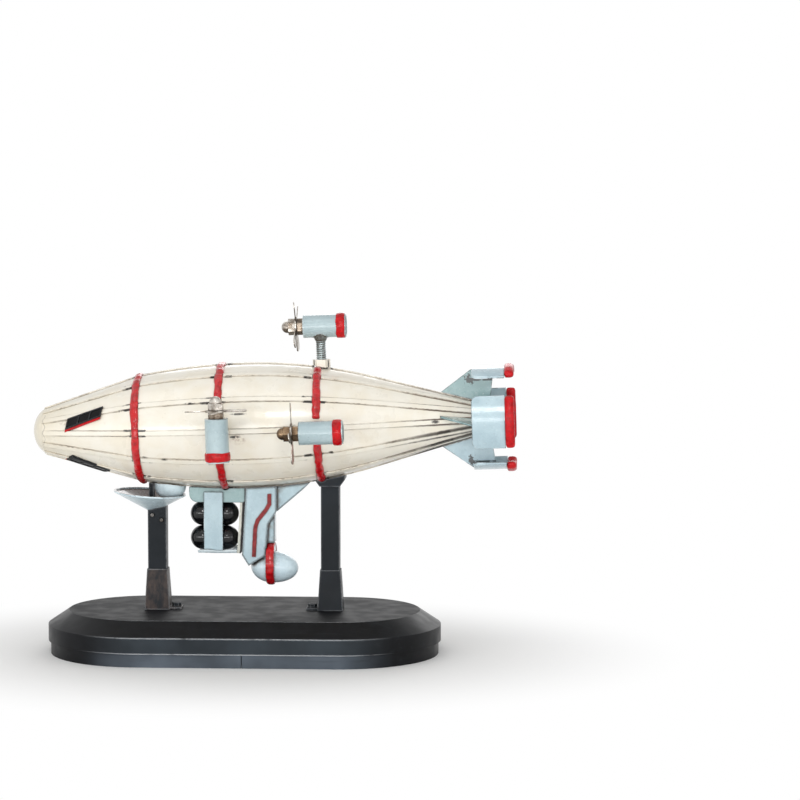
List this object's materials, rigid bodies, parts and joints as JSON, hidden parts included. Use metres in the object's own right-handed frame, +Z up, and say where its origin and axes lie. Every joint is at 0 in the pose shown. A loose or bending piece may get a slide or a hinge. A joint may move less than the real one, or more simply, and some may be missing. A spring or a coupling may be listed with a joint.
{
  "type": "airship desk model",
  "caption": "Sheet-metal airship desk model with a battened hull, banded seams, spinning propellers, ducted tail fins and a slung gondola, on posts over a long round-ended base.",
  "frame": {"origin": "centre of the base's underside", "axes": "+X from the nose towards the tail, +Y towards the starboard side, +Z up"},
  "size_m": [0.2551, 0.1332, 0.1861],
  "materials": {
    "cream_enamel": "gloss, antiqued",
    "red_enamel": "gloss",
    "grey_blue_enamel": "gloss, antiqued",
    "black_paint": "satin, worn edges",
    "black_gloss": "gloss",
    "nickel": "aged",
    "bronze": "aged"
  },
  "bodies": {
    "airship": {"base_pan": "black_paint", "base_skirt": "black_paint", "base_bottom": "black_paint", "post_front": "black_paint", "post_rear": "black_paint", "post_screws": "black_paint", "foot_front": "black_paint", "foot_rear": "black_paint", "foot_fasteners": "black_paint", "saddle": "black_paint", "nose_cap": "cream_enamel", "hull_nose": "cream_enamel", "hull_front": "cream_enamel", "hull_rear": "cream_enamel", "hull_tail": "cream_enamel", "tail_plug": "cream_enamel", "battens_nose": "cream_enamel", "battens_front": "cream_enamel", "battens_rear": "cream_enamel", "battens_tail": "cream_enamel", "band_front": "red_enamel", "band_middle": "red_enamel", "band_rear": "red_enamel", "window_frames": "black_paint", "window_panes": "black_gloss", "window_sills": "red_enamel", "fin_top": "grey_blue_enamel", "fin_bottom": "grey_blue_enamel", "fin_port": "grey_blue_enamel", "fin_starboard": "grey_blue_enamel", "tail_shrouds": "grey_blue_enamel", "tail_rims": "red_enamel", "nacelle_port_front": "grey_blue_enamel", "nacelle_port_rear": "grey_blue_enamel", "nacelle_starboard_front": "grey_blue_enamel", "nacelle_starboard_rear": "grey_blue_enamel", "nacelle_top": "grey_blue_enamel", "nacelle_rings": "red_enamel", "pylons": "grey_blue_enamel", "pylon_collars": "cream_enamel", "prop_studs": "nickel", "spacer_nuts": "nickel", "cap_nuts": "bronze", "turret_bowl": "grey_blue_enamel", "scoop_tray": "grey_blue_enamel", "rack_pan": "grey_blue_enamel", "rack_balls": "black_gloss", "rack_straps": "grey_blue_enamel", "rack_tray": "grey_blue_enamel", "rack_end_plate": "cream_enamel", "duct_leg": "grey_blue_enamel", "duct_trim": "red_enamel", "duct_gusset": "grey_blue_enamel", "pod": "grey_blue_enamel", "pod_ring": "red_enamel"},
    "prop_port_front": {"propeller_port_front": "nickel"},
    "prop_port_rear": {"propeller_port_rear": "nickel"},
    "prop_starboard_front": {"propeller_starboard_front": "nickel"},
    "prop_starboard_rear": {"propeller_starboard_rear": "nickel"},
    "prop_top": {"propeller_top": "nickel"}
  },
  "joints": [
    {"name": "spin_port_front", "type": "hinge", "parent": "airship", "child": "prop_port_front", "pos_m": [-0.00914, -0.051, 0.13289], "axis": [-0.0349, 0, 0.9994], "continuous": true},
    {"name": "spin_port_rear", "type": "hinge", "parent": "airship", "child": "prop_port_rear", "pos_m": [0.02958, -0.051, 0.12153], "axis": [-0.9994, 0, -0.0349], "continuous": true},
    {"name": "spin_starboard_front", "type": "hinge", "parent": "airship", "child": "prop_starboard_front", "pos_m": [-0.00914, 0.051, 0.13289], "axis": [-0.0349, 0, 0.9994], "continuous": true},
    {"name": "spin_starboard_rear", "type": "hinge", "parent": "airship", "child": "prop_starboard_rear", "pos_m": [0.02958, 0.051, 0.12153], "axis": [-0.9994, 0, -0.0349], "continuous": true},
    {"name": "spin_top", "type": "hinge", "parent": "airship", "child": "prop_top", "pos_m": [0.0278, 0, 0.1725], "axis": [-0.9994, 0, -0.0349], "continuous": true}
  ]
}
